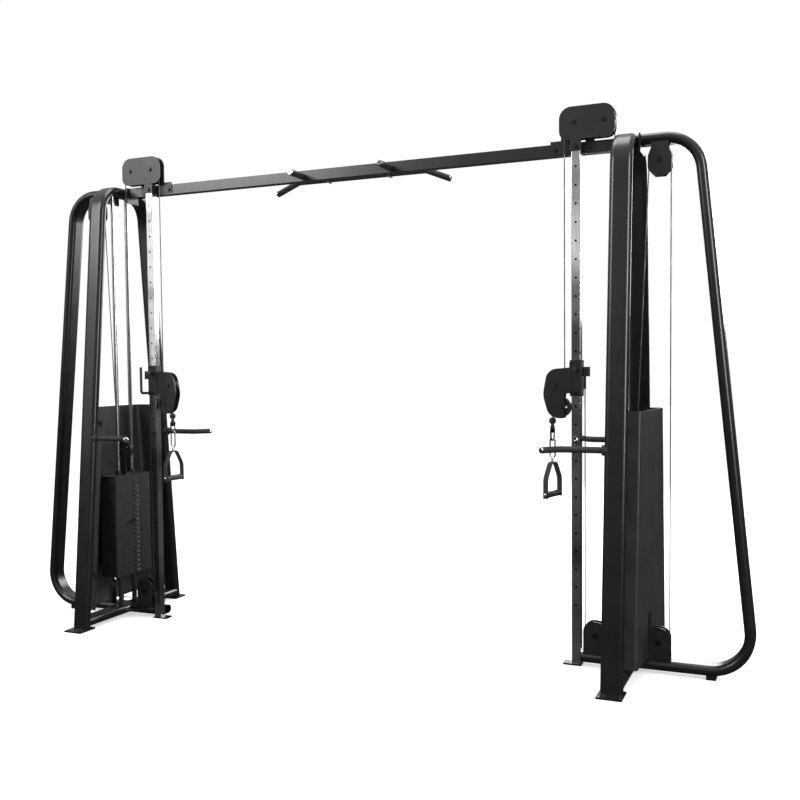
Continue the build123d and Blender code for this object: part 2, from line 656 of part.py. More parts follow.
for side, way in ((LEFT, -1), (RIGHT, 1)):
    hang, turn = way * HANG_X, HANDLE_TURN[side]
    ball = Pos(hang, CABLE_Y, BALL_TOP - 16) * Sphere(16)
    ball += rod((hang, CABLE_Y, BALL_TOP - 40), (hang, CABLE_Y, BALL_TOP - 20), 4)
    clip_top = BALL_TOP - 30
    clip = ring(
        hung(hang, turn),
        [(-17, CLIP_Z), (17, CLIP_Z), (17, clip_top - 14), (-17, clip_top - 14)],
        [14, 14, 14, 14],
        CLIP_R,
    )
    save(f"{side}_snap_hook", ball + clip)

    frame = hung(hang, turn)
    outline = [(-x, z) for x, z in STRAP_OUTLINE] + STRAP_OUTLINE[::-1]
    bends = [STRAP_SHOULDER_BEND, STRAP_CROWN_BEND, STRAP_CROWN_BEND, STRAP_SHOULDER_BEND]
    flat = FilletPolyline(*outline, radius=bends)
    path = Wire([frame.from_local_coords(edge) for edge in flat.edges()])
    strip = Plane(origin=path @ 0, x_dir=frame.z_dir, z_dir=path % 0)
    handle = sweep(strip * Rectangle(STRAP_WIDE, STRAP_THICK), path=path)

    def along(x):
        return tuple(frame.from_local_coords(Vector(x, GRIP_Z, 0)))

    cap_face = STRAP_OUTLINE[0][0] + STRAP_THICK / 2 - 0.7
    handle += rod(along(-cap_face - 2), along(cap_face + 2), GRIP_AXLE_R)
    for end in (-1, 1):
        handle += rod(along(end * cap_face), along(end * (cap_face + 6)), 9)
    post_low = STRAP_OUTLINE[-1][1] - STRAP_THICK / 2
    handle += rod((hang, CABLE_Y, post_low - 2.5), (hang, CABLE_Y, POST_TOP), POST_R)
    handle += rod((hang, CABLE_Y, post_low - 3), (hang, CABLE_Y, post_low + 0.5), 9.5)
    link_high = CLIP_Z + CLIP_R + LINK_R + 0.6
    handle += ring(
        hung(hang, turn + 90),
        [(-12, POST_TOP), (12, POST_TOP), (12, link_high), (-12, link_high)],
        [10, 10, 10, 10],
        LINK_R,
    )
    save(f"{side}_d_handle", handle)

    ends = (along(-GRIP_HALF), along(GRIP_HALF))
    grip = rod(*ends, GRIP_R)
    grip = fillet(grip.edges().filter_by(GeomType.CIRCLE), 3)
    grip -= rod(*ends, GRIP_AXLE_R + FIT)
    save(f"{side}_handle_grip", grip)

# --- Storage pegs and pull-up bars -----------------------------------------------------
PEG_R, PEG_Z, PEG_BEND_X = 13.5, 980, 1118
PEG_TIP, PEG_TURN, CAP = 90, 50, 8
pegs, caps = [], []
for leg_y, way in ((front_leg_y(PEG_Z), -1), (rear_leg_y(PEG_Z), 1)):
    ahead = Vector(-cos(radians(PEG_TURN)), way * sin(radians(PEG_TURN)), 0)
    bend = Vector(PEG_BEND_X, leg_y, PEG_Z)
    tip = bend + ahead * PEG_TIP
    peg = round_path([(TOWER_X - 30, leg_y, PEG_Z), tuple(bend), tuple(tip)], 40, PEG_R)
    peg += rod((TOWER_X - 30, leg_y, PEG_Z), (TOWER_X - 56, leg_y, PEG_Z), 22)
    pegs.append(peg - a_frame_solid)
    cap = rod(tuple(tip), tuple(tip + ahead * CAP), PEG_R)
    caps.append(fillet(cap.edges().filter_by(GeomType.CIRCLE).sort_by(Axis.X)[0], 4))
pegs = [max(peg.solids(), key=lambda solid: solid.volume) for peg in pegs]
save_both("storage_pegs", *pegs)

BAR_R, BAR_Y, BAR_Z = 15, 180, 2283
BAR_BEND_X, BAR_TIP = 350, (472, 2233)
GRIP_X, GRIP_REACH, GRIP_BAR_Z = 235, 118, 2272
wide_points = [
    (-BAR_TIP[0], BAR_Y, BAR_TIP[1]), (-BAR_BEND_X, BAR_Y, BAR_Z),
    (BAR_BEND_X, BAR_Y, BAR_Z), (BAR_TIP[0], BAR_Y, BAR_TIP[1]),
]
wide_bar = round_path(wide_points, 60, BAR_R)
wide_bore = round_path(wide_points, 60, BAR_R - 2.5)
arms = [
    block((x - 4, x + 4), (BEAM, BAR_Y), (BAR_Z - 22, BAR_Z + 10)) - wide_bar
    for x in (-167, 167)
]
grips = []
for x in (-GRIP_X, GRIP_X):
    grip = rod((x, 0, GRIP_BAR_Z), (x, -GRIP_REACH, GRIP_BAR_Z), BAR_R)
    grips.append(grip - rod((x, 0, GRIP_BAR_Z), (x, -GRIP_REACH, GRIP_BAR_Z), BAR_R - 2.5))
    cap = rod((x, -GRIP_REACH, GRIP_BAR_Z), (x, -GRIP_REACH - CAP, GRIP_BAR_Z), BAR_R)
    caps.append(fillet(cap.edges().filter_by(GeomType.CIRCLE).sort_by(Axis.Y)[0], 4))
arms = [max(arm.solids(), key=lambda solid: solid.volume) for arm in arms]
save("pull_up_bars", wide_bar - wide_bore, *arms, *grips)

tip_way = Vector(BAR_TIP[0] - BAR_BEND_X, 0, BAR_TIP[1] - BAR_Z).normalized()
tip = Vector(BAR_TIP[0], BAR_Y, BAR_TIP[1])
bar_cap = rod(tuple(tip), tuple(tip + tip_way * CAP), BAR_R)
bar_cap = fillet(bar_cap.edges().filter_by(GeomType.CIRCLE).sort_by(Axis.X)[-1], 4)
peg_caps = caps[:2] + [bar_cap]
grip_caps = caps[2:]
save("chrome_end_caps", *peg_caps, *[mirrored(cap) for cap in peg_caps], *grip_caps)
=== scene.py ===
from math import asin, atan2, cos, degrees, hypot, radians, sin, tan, tau

import bmesh
import bpy
from mathutils import Matrix, Vector


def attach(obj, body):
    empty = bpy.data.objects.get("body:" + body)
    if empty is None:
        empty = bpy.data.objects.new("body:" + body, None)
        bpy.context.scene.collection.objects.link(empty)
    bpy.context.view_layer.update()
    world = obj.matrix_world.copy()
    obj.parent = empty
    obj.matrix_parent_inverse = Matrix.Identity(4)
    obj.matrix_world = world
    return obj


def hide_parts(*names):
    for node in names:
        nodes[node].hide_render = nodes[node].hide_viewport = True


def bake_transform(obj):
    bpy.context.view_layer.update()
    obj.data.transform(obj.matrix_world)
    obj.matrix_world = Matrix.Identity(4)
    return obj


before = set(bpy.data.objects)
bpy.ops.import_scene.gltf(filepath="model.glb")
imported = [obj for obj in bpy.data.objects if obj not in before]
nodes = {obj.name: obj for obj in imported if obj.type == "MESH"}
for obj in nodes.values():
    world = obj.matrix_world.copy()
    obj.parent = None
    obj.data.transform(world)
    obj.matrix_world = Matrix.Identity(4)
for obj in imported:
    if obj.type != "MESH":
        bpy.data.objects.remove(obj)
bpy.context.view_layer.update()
scene = bpy.context.scene

SIDES = (("left", -1), ("right", 1))

# Places on the CAD model, right tower, metres
CABLE_Y, CABLE_R = -0.020, 0.0025
RIM_PITCH, SMALL_PITCH = 0.045, 0.040
CROWN_INNER, CROWN_STACK = (1.121, 2.380), (1.250, 2.380)
OUTER_TOP, OUTER_BASE, INNER_BASE = (1.484, 2.186), (1.484, 0.137), (1.211, 0.137)
STACK_PULLEY = (1.340, 0.900)
CARRIAGE_UPPER, CARRIAGE_LOWER = (1.036, 1.245), (1.061, 1.146)
ANCHOR_X, FERRULE_LOW = 1.166, 1.225
HANG_X = 1.021
BALL_TOP, BALL_R = 1.100, 0.016
CLIP_Z, CLIP_HIGH, CLIP_HALF, CLIP_CORNER = 0.998, 1.056, 0.017, 0.014
CLIP_BAR_R, GATE_BAR_R = 0.004, 0.003
HANDLE_TURN = {"left": radians(89), "right": radians(78)}
GRIP_Z, GRIP_HALF, GRIP_R = 0.758, 0.065, 0.015
STRAP_OUTLINE = [(0.070, 0.742), (0.069, 0.830), (0.022, 0.900)]
STRAP_WIDE, STRAP_THICK = 0.025, 0.0035
STRAP_SHOULDER, STRAP_CROWN = 0.060, 0.028
AXLE_R, AXLE_HALF, CAP_X = 0.005, 0.072, 0.0712
POST_TOP = 0.922
LINK_HIGH, LINK_HALF, LINK_CORNER, LINK_R = 1.0061, 0.012, 0.010, 0.0035
RAIL_X, PIN_Z, SLEEVE_FRONT = 1.130, 1.310, -0.046
STACK_X, STACK_LOW, WEIGHT_PITCH = 1.340, 0.230, 0.0254
WEIGHTS, LIFTED, WEIGHT_HALF_X = 20, 9, 0.0525
WEIGHT_MIDDLE = 0.494  # a plate's middle, as a share of the pitch
KNOB_R = 0.013
NUMERAL_SIZE, NUMERAL_DEPTH, NUMERAL_Y = 0.0165, 0.00012, 0.034
STRAND_LAY, STRAND_DEPTH = 0.16, 0.00012


# --- Materials -------------------------------------------------------------------
class Shader:
    """A principled material with a few procedural layers."""

    def __init__(self, name, metallic=0.0, coat=0.0, coat_roughness=0.1, specular=0.5):
        self.material = bpy.data.materials.new(name)
        self.material.use_nodes = True
        self.tree = self.material.node_tree
        self.tree.nodes.clear()
        output = self.tree.nodes.new("ShaderNodeOutputMaterial")
        self.surface = self.tree.nodes.new("ShaderNodeBsdfPrincipled")
        self.link(self.surface.outputs[0], output.inputs["Surface"])
        self.surface.inputs["Metallic"].default_value = metallic
        self.surface.inputs["Coat Weight"].default_value = coat
        self.surface.inputs["Coat Roughness"].default_value = coat_roughness
        self.surface.inputs["Specular IOR Level"].default_value = specular
        self.place = self.tree.nodes.new("ShaderNodeTexCoord").outputs["Object"]
        self.normal = None

    def link(self, a, b):
        self.tree.links.new(a, b)

    def stretched(self, scale):
        node = self.tree.nodes.new("ShaderNodeMapping")
        node.inputs["Scale"].default_value = scale
        self.link(self.place, node.inputs["Vector"])
        return node.outputs[0]

    def noise(self, scale, detail=3.0, stretch=None, roughness=0.5):
        node = self.tree.nodes.new("ShaderNodeTexNoise")
        node.inputs["Scale"].default_value = scale
        node.inputs["Detail"].default_value = detail
        node.inputs["Roughness"].default_value = roughness
        self.link(self.stretched(stretch) if stretch else self.place, node.inputs["Vector"])
        return node.outputs["Fac"]

    def ramp(self, factor, stops):
        node = self.tree.nodes.new("ShaderNodeValToRGB")
        ramp = node.color_ramp
        while len(ramp.elements) < len(stops):
            ramp.elements.new(0.5)
        for element, (position, colour) in zip(ramp.elements, stops):
            element.position = position
            element.color = (*colour, 1)
        self.link(factor, node.inputs[0])
        return node.outputs[0]

    def colour(self, factor, stops):
        self.link(self.ramp(factor, stops), self.surface.inputs["Base Color"])

    def rough(self, factor, low, high):
        span = self.tree.nodes.new("ShaderNodeMapRange")
        span.inputs["To Min"].default_value = low
        span.inputs["To Max"].default_value = high
        self.link(factor, span.inputs["Value"])
        self.link(span.outputs[0], self.surface.inputs["Roughness"])

    def bump(self, height, distance, strength=1.0):
        node = self.tree.nodes.new("ShaderNodeBump")
        node.inputs["Distance"].default_value = distance
        node.inputs["Strength"].default_value = strength
        self.link(height, node.inputs["Height"])
        if self.normal is not None:
            self.link(self.normal, node.inputs["Normal"])
        self.normal = node.outputs[0]
        self.link(self.normal, self.surface.inputs["Normal"])


def painted(name, dark, light, low, high, grain, depth, coat=0.0, coat_roughness=0.25):
    """Powder coat: fine orange peel, slow tone and gloss variation."""
    shader = Shader(name, coat=coat, coat_roughness=coat_roughness)
    shader.colour(shader.noise(7, 4), [(0.3, dark), (0.7, light)])
    shader.rough(shader.noise(14, 2), low, high)
    shader.bump(shader.noise(grain, 1), depth, 0.4)
    return shader.material


def brushed(name, colour, low, high, stretch, depth):
    """Plated metal with fine drawn lines along one direction."""
    shader = Shader(name, metallic=1.0)
    lines = shader.noise(1, 4, stretch)
    shader.colour(lines, [(0.25, tuple(c * 0.9 for c in colour)), (0.75, colour)])
    shader.rough(lines, low, high)
    shader.bump(lines, depth, 0.5)
    return shader.material


def make_materials():
    made = {
        "frame": painted(
            "frame_powder_coat", (0.0035, 0.0035, 0.0038), (0.0065, 0.0065, 0.007),
            0.24, 0.34, 900, 0.00001, coat=0.25,
        ),
        "beam": painted(
            "beam_powder_coat", (0.004, 0.004, 0.0044), (0.007, 0.007, 0.0075),
            0.24, 0.32, 700, 0.000005, coat=0.3,
        ),
        "plate": painted(
            "plate_powder_coat", (0.005, 0.005, 0.0055), (0.010, 0.010, 0.011),
            0.34, 0.46, 1100, 0.00001, coat=0.08,
        ),
        "shroud": painted(
            "shroud_powder_coat", (0.012, 0.0125, 0.0145), (0.020, 0.021, 0.024),
            0.34, 0.44, 700, 0.00001, coat=0.1,
        ),
        "hardware": brushed(
            "black_oxide_steel", (0.045, 0.045, 0.048), 0.28, 0.44, (420, 420, 420), 0.00003
        ),
        "steel": brushed(
            "bright_steel", (0.62, 0.62, 0.63), 0.18, 0.30, (300, 300, 40), 0.00003
        ),
    }

    chrome = Shader("chrome_plate", metallic=1.0)
    # Painted reflection: the base colour runs in light and dark bands up the rails and caps,
    # standing in for mirrored studio light and shade.
    chrome.colour(
        chrome.noise(1, 3, (0.8, 0.8, 3.2)),
        [(0.38, (0.36, 0.36, 0.37)), (0.50, (0.70, 0.70, 0.71)), (0.60, (0.92, 0.92, 0.93))],
    )
    chrome.rough(chrome.noise(1, 4, (160, 160, 9)), 0.10, 0.20)
    made["chrome"] = chrome.material

    iron = Shader("painted_cast_iron", coat=0.05, coat_roughness=0.35)
    iron.colour(
        iron.noise(26, 6), [(0.3, (0.003, 0.003, 0.0033)), (0.7, (0.008, 0.008, 0.0085))]
    )
    iron.rough(iron.noise(90, 5), 0.44, 0.60)
    iron.bump(iron.noise(420, 5, roughness=0.65), 0.00007, 0.55)
    made["iron"] = iron.material

    rubber = Shader("moulded_rubber")
    rubber.colour(rubber.noise(60, 4), [(0.3, (0.006, 0.006, 0.006)), (0.7, (0.012, 0.012, 0.012))])
    rubber.rough(rubber.noise(120, 4), 0.55, 0.72)
    rubber.bump(rubber.noise(1500, 3), 0.00012, 0.6)
    made["rubber"] = rubber.material

    grip = Shader("rubber_grip")
    grip.colour(grip.noise(80, 4), [(0.3, (0.012, 0.012, 0.012)), (0.7, (0.024, 0.024, 0.024))])
    grip.rough(grip.noise(200, 4), 0.5, 0.66)
    cells = grip.tree.nodes.new("ShaderNodeTexVoronoi")
    cells.inputs["Scale"].default_value = 420
    grip.link(grip.place, cells.inputs["Vector"])
    grip.bump(cells.outputs["Distance"], 0.0005, 0.8)
    made["grip"] = grip.material

    nylon = Shader("pulley_nylon", coat=0.15, coat_roughness=0.3)
    nylon.colour(nylon.noise(40, 3), [(0.3, (0.006, 0.006, 0.0065)), (0.7, (0.011, 0.011, 0.012))])
    nylon.rough(nylon.noise(150, 4), 0.32, 0.44)
    nylon.bump(nylon.noise(900, 3), 0.00008, 0.5)
    made["nylon"] = nylon.material

    jacket = Shader("cable_jacket", coat=0.5, coat_roughness=0.2)
    jacket.colour(
        jacket.noise(500, 3), [(0.3, (0.020, 0.020, 0.021)), (0.7, (0.040, 0.040, 0.042))]
    )
    jacket.rough(jacket.noise(300, 3), 0.25, 0.38)
    jacket.bump(jacket.noise(700, 3), 0.0001, 0.4)
    made["jacket"] = jacket.material

    webbing = Shader("woven_webbing")
    weave = webbing.noise(1, 2, (900, 900, 260))
    webbing.colour(weave, [(0.3, (0.008, 0.008, 0.009)), (0.7, (0.022, 0.022, 0.024))])
    webbing.rough(webbing.noise(220, 4), 0.6, 0.78)
    ribs = webbing.tree.nodes.new("ShaderNodeTexWave")
    ribs.wave_type, ribs.bands_direction = "BANDS", "Z"
    ribs.inputs["Scale"].default_value = 160
    ribs.inputs["Distortion"].default_value = 1.5
    ribs.inputs["Detail Scale"].default_value = 4
    webbing.link(webbing.place, ribs.inputs["Vector"])
    webbing.bump(ribs.outputs["Fac"], 0.0004, 0.8)
    webbing.bump(weave, 0.0003, 0.6)
    made["webbing"] = webbing.material

    number = Shader("number_paint")
    number.colour(number.noise(300, 3), [(0.3, (0.10, 0.10, 0.10)), (0.7, (0.16, 0.16, 0.16))])
    number.rough(number.noise(500, 3), 0.5, 0.65)
    made["number"] = number.material
    return made


MATERIAL = make_materials()

NODE_FINISH = {
    "top_beam": "beam", "pull_up_bars": "rubber", "chrome_end_caps": "chrome",
    "frame_bolts": "hardware", "frame_brackets": "plate", "foot_plates": "frame",
    "base_cross_tubes": "frame", "guide_rails": "chrome", "crown_housings": "plate",
    "guide_rods": "steel", "stack_bumpers": "rubber", "resting_weights": "iron",
    "storage_pegs": "rubber", "fixed_cable_runs": "jacket", "pulley_axles": "hardware",
    "a_frame": "frame", "outer_loop": "frame", "stack_shroud": "shroud",
    "stack_cable": "jacket", "carriage_upper_cable": "jacket",
    "carriage_lower_cable": "jacket", "carriage_tail_cable": "jacket",
    "carriage": "plate", "pull_pin": "hardware", "snap_hook": "hardware",
    "d_handle": "hardware", "handle_grip": "grip", "lifted_stack": "iron",
    "selector_pin": "hardware",
}


def finish_of(name):
    for side, _ in SIDES:
        name = name.removeprefix(side + "_")
    return NODE_FINISH.get(name, "nylon" if name.endswith("pulley") else "plate")


def dress_nodes():
    for name, obj in nodes.items():
        obj.data.materials.clear()
        obj.data.materials.append(MATERIAL[finish_of(name)])


dress_nodes()


# --- Mesh helpers --------------------------------------------------------------------
def new_object(name, verts, faces, finish, sharp=35):
    mesh = bpy.data.meshes.new(name)
    mesh.from_pydata([tuple(v) for v in verts], [], faces)
    mesh.validate()
    work = bmesh.new()
    work.from_mesh(mesh)
    bmesh.ops.recalc_face_normals(work, faces=work.faces)
    work.to_mesh(mesh)
    work.free()
    mesh.polygons.foreach_set("use_smooth", [True] * len(mesh.polygons))
    mesh.set_sharp_from_angle(angle=radians(sharp))
    obj = bpy.data.objects.new(name, mesh)
    scene.collection.objects.link(obj)
    mesh.materials.append(MATERIAL[finish])
    return obj


def disc(radius, segments=16, lobes=None):
    """Round section; lobes gives a small change of radius by angle."""
    section = []
    for k in range(segments):
        angle = tau * k / segments
        r = radius + (lobes(angle) if lobes else 0)
        section.append((r * cos(angle), r * sin(angle)))
    return section


def strap_section(width, thickness, crown=0.0004):
    """Flat section with rounded edges, slightly thicker in the middle."""
    half, edge = width / 2, thickness / 2
    side = [(half - edge * (1 - cos(a)), edge * sin(a)) for a in (0, 0.5, 1.1)]
    top = [(x * half, edge + crown * (1 - x * x)) for x in (0.75, 0.4, 0, -0.4, -0.75)]
    upper = side + top + [(-x, y) for x, y in side[::-1]]
    return upper + [(x, -y) for x, y in upper[-2:0:-1]]


def sweep(points, section, closed=False, across=None):
    """Sections along points; a function of the point's number may give each one."""
    points = [Vector(p) for p in points]
    count = len(points)
    ways = []
    for i in range(count):
        before = points[(i - 1) % count] if closed or i else points[0]
        after = points[(i + 1) % count] if closed or i < count - 1 else points[-1]
        ways.append((after - before).normalized())
    across = Vector(across) if across else ways[0].orthogonal().normalized()
    verts, size = [], 0
    for i, (point, way) in enumerate(zip(points, ways)):
        across = (across - way * across.dot(way)).normalized()
        up = way.cross(across)
        outline = section(i) if callable(section) else section
        size = len(outline)
        verts += [point + across * a + up * b for a, b in outline]
    faces = []
    for i in range(count if closed else count - 1):
        a, b = i * size, (i + 1) % count * size
        for k in range(size):
            n = (k + 1) % size
            faces.append((a + k, a + n, b + n, b + k))
    if not closed:
        faces.append(tuple(range(size))[::-1])
        faces.append(tuple(range((count - 1) * size, count * size)))
    return verts, faces


def rounded_path(points, bends, closed=False, step=8):
    """Points (u, z) of a polyline with arcs at its corners."""
    count, path = len(points), []
    corners = range(count) if closed else range(1, count - 1)
    bends = dict(zip(corners, bends))
    for i, point in enumerate(points):
        here = Vector(point)
        if i not in bends:
            path.append(here)
            continue
        back = (Vector(points[i - 1]) - here).normalized()
        ahead = (Vector(points[(i + 1) % count]) - here).normalized()
        half = back.angle(ahead) / 2
        centre = here + (back + ahead).normalized() * (bends[i] / sin(half))
        first = here + back * (bends[i] / tan(half)) - centre
        last = here + ahead * (bends[i] / tan(half)) - centre
        turn = first.angle_signed(last)
        steps = max(2, round(abs(degrees(turn)) / step))
        for k in range(steps + 1):
            angle = -turn * k / steps
            c, d = cos(angle), sin(angle)
            path.append(centre + Vector((first.x * c - first.y * d, first.x * d + first.y * c)))
    return path


def dense(path, longest):
    """The same open path with extra points, so that no step is much over longest."""
    points = []
    for a, b in zip(path, path[1:]):
        count = max(1, round((b - a).length / longest))
        points += [a.lerp(b, i / count) for i in range(count)]
    return points


def hung(x, turn, path):
    """A path of (u, z) in the upright plane through x that is turned about Z."""
    return [Vector((x + cos(turn) * u, CABLE_Y + sin(turn) * u, z)) for u, z in path]


def lathe(profile, origin, axis, segments=48, lobe=None):
    """Turned body from (radius, height) pairs about axis; a radius of 0 closes it."""
    axis = Vector(axis).normalized()
    across = axis.orthogonal().normalized()
    up = axis.cross(across)
    origin = Vector(origin)
    verts, faces, rows = [], [], []
    for radius, height in profile:
        centre = origin + axis * height
        if radius < 1e-7:
            rows.append([len(verts)])
            verts.append(centre)
            continue
        row = []
        for k in range(segments):
            angle = tau * k / segments
            r = radius + (lobe(angle, height) if lobe else 0)
            row.append(len(verts))
            verts.append(centre + (across * cos(angle) + up * sin(angle)) * r)
        rows.append(row)
    for a, b in zip(rows, rows[1:]):
        for k in range(segments):
            n = (k + 1) % segments
            if len(a) == 1 and len(b) == 1:
                continue
            if len(a) == 1:
                faces.append((a[0], b[n], b[k]))
            elif len(b) == 1:
                faces.append((a[k], a[n], b[0]))
            else:
                faces.append((a[k], a[n], b[n], b[k]))
    return verts, faces


def merged(*parts):
    verts, faces = [], []
    for part_verts, part_faces in parts:
        base = len(verts)
        verts += part_verts
        faces += [tuple(base + i for i in face) for face in part_faces]
    return verts, faces


# --- Cables -----------------------------------------------------------------------
def spot(x, z):
    return Vector((x, CABLE_Y, z))


def arc(centre, radius, start, turn, step=4):
    """Points of an arc in the cable plane; angles in degrees from +X towards +Z."""
    count = max(2, round(abs(turn) / step))
    angles = [radians(start + turn * i / count) for i in range(count + 1)]
    return [spot(centre[0] + radius * cos(a), centre[1] + radius * sin(a)) for a in angles]


def straight(start, end, step=0.012):
    count = max(2, round((end - start).length / step))
    return [start.lerp(end, i / count) for i in range(count + 1)]


def chained(*runs):
    points = []
    for run in runs:
        points += run if not points else run[1:]
    return points


def cable(name, points, way):
    """Jacketed strand cable: a fine helix of six lobes under the jacket."""
    points = [Vector((way * p.x, p.y, p.z)) for p in points]
    run = [0.0]
    for a, b in zip(points, points[1:]):
        run.append(run[-1] + (b - a).length)

    def strands(i):
        phase = tau * run[i] / STRAND_LAY * way
        return disc(CABLE_R - 0.0001, 24, lambda angle: STRAND_DEPTH * cos(6 * angle + phase))

    return new_object(name, *sweep(points, strands), "jacket", sharp=60)


# The run from the outer top pulley to the stack pulley crosses to its far side
slant_run = Vector((OUTER_TOP[0] - STACK_PULLEY[0], OUTER_TOP[1] - STACK_PULLEY[1]))
line_angle = degrees(atan2(slant_run.y, slant_run.x))
slant = 90 - (line_angle + degrees(asin(2 * RIM_PITCH / slant_run.length)))
base_start = arc(INNER_BASE, RIM_PITCH, 180, 90)
base_end = arc(OUTER_BASE, RIM_PITCH, 270, 90)
over_top = arc(OUTER_TOP, RIM_PITCH, 0, 180 - slant)
crown_first = arc(CROWN_STACK, RIM_PITCH, 0, 90)
crown_second = arc(CROWN_INNER, RIM_PITCH, 90, 90)
under_stack = arc(STACK_PULLEY, RIM_PITCH, 180, 180 - slant)
low_route = chained(
    base_start, straight(base_start[-1], base_end[0]), base_end,
    straight(base_end[-1], over_top[0]), over_top,
)
crown_route = chained(crown_first, straight(crown_first[-1], crown_second[0]), crown_second)
# Between the carriage's two pulleys the cable crosses over, then hangs down
upper_end = spot(CARRIAGE_UPPER[0] + SMALL_PITCH, CARRIAGE_UPPER[1])
dx, dz = CARRIAGE_LOWER[0] - CARRIAGE_UPPER[0], CARRIAGE_LOWER[1] - CARRIAGE_UPPER[1]
swing = -(90 + degrees(atan2(dz, dx)) - degrees(asin(2 * SMALL_PITCH / hypot(dx, dz))))
wrap_upper = arc(CARRIAGE_UPPER, SMALL_PITCH, 0, -swing)
wrap_lower = arc(CARRIAGE_LOWER, SMALL_PITCH, 180 - swing, swing)
tail_wrap = chained(wrap_upper, straight(wrap_upper[-1], wrap_lower[0]), wrap_lower)
hang_run = straight(wrap_lower[-1], spot(HANG_X, BALL_TOP - 0.002), 0.0008)


def make_cables():
    for side, way in SIDES:
        for label, points in (("base_and_outer", low_route), ("crown", crown_route)):
            piece = cable(f"{side}_{label}_cable_run", points, way)
            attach(piece, "root")
            if side == "left":
                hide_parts("fixed_cable_runs")
        stack_body, carriage_body = f"{side}_lifted_stack", f"{side}_carriage"
        piece = cable(f"{side}_stack_pulley_wrap", under_stack, way)
        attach(piece, stack_body)
        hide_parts(f"{side}_stack_cable")
        for label, start, end, body in (
            ("stack_inner", crown_first[0], under_stack[0], stack_body),
            ("stack_outer", over_top[-1], under_stack[-1], stack_body),
            ("carriage_upper", crown_second[-1], upper_end, carriage_body),
            ("carriage_lower", base_start[0], spot(ANCHOR_X, FERRULE_LOW), carriage_body),
        ):
            piece = cable(f"{side}_{label}_cable_run", straight(start, end), way)
            if label.startswith("carriage"):
                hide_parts(f"{side}_{label}_cable")
            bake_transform(piece)
        piece = cable(f"{side}_carriage_wrap", tail_wrap, way)
        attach(piece, carriage_body)
        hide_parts(f"{side}_carriage_tail_cable")
        piece = cable(f"{side}_hanging_cable_run", hang_run, way)
        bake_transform(piece)


make_cables()


# --- Handle and hook ------------------------------------------------------------------
def make_handle(side, way):
    hang, turn = way * HANG_X, HANDLE_TURN[side]
    across = Vector((cos(turn), sin(turn), 0))
    normal = across.cross(Vector((0, 0, 1)))
    grip_centre = Vector((hang, CABLE_Y, GRIP_Z))

    outline = [(-u, z) for u, z in STRAP_OUTLINE] + STRAP_OUTLINE[::-1]
    bends = [STRAP_SHOULDER, STRAP_CROWN, STRAP_CROWN, STRAP_SHOULDER]
    line = rounded_path(outline, bends, step=4)
    line = dense(line, 0.004) + line[-1:]
    strap = new_object(
        f"{side}_handle_strap",
        *sweep(
            hung(hang, turn, line), strap_section(STRAP_WIDE, STRAP_THICK - 0.0008),
            across=normal,
        ),
        "webbing", sharp=50,
    )
    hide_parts(f"{side}_d_handle")

    cap_profile = [
        (0, -0.001), (0.0078, -0.001), (0.0088, 0.0004), (0.0088, 0.0024), (0.0080, 0.0042),
        (0.0060, 0.0055), (0.0030, 0.0060), (0, 0.0061),
    ]
    caps = [
        lathe(cap_profile, grip_centre + across * (end * CAP_X), across * end, 32)
        for end in (-1, 1)
    ]
    axle = lathe(
        [(0, -AXLE_HALF), (AXLE_R, -AXLE_HALF), (AXLE_R, AXLE_HALF), (0, AXLE_HALF)],
        grip_centre, across, 20,
    )
    post = lathe(
        [
            (0, 0.8955), (0.0090, 0.8955), (0.0094, 0.8962), (0.0094, 0.8978),
            (0.0066, 0.8982), (0.0066, 0.8998), (0.0062, 0.9020), (0.0062, 0.9160),
            (0.0052, 0.9190), (0.0045, 0.9215), (0, POST_TOP),
        ],
        (hang, CABLE_Y, 0), (0, 0, 1), 32,
    )
    link = rounded_path(
        [(-LINK_HALF, POST_TOP), (LINK_HALF, POST_TOP),
         (LINK_HALF, LINK_HIGH), (-LINK_HALF, LINK_HIGH)],
        [LINK_CORNER] * 4, closed=True, step=10,
    )
    ring = sweep(hung(hang, turn + radians(90), link), disc(LINK_R, 14), closed=True)
    hardware = new_object(
        f"{side}_handle_hardware", *merged(*caps, axle, post, ring), "steel", sharp=40
    )

    ribs = []
    steps = 104
    for i in range(steps + 1):
        height = -GRIP_HALF + 2 * GRIP_HALF * i / steps
        end = max(0.0, abs(height) - (GRIP_HALF - 0.004)) / 0.004
        groove = 0.0006 if i % 8 in (3, 4) and end == 0 else 0.0
        swell = 0.0012 * (height / GRIP_HALF) ** 2
        ribs.append((GRIP_R - 0.0014 + swell - groove - 0.002 * end * end, height))
    grip = new_object(
        f"{side}_moulded_grip",
        *lathe(
            [(0.0052, -GRIP_HALF), *ribs, (0.0052, GRIP_HALF)], grip_centre, across, 48,
            lobe=lambda angle, height: 0.00025 * cos(12 * angle),
        ),
        "grip", sharp=50,
    )
    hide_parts(f"{side}_handle_grip")
    for piece in (strap, hardware):
        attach(piece, f"{side}_handle")
    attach(grip, f"{side}_grip")


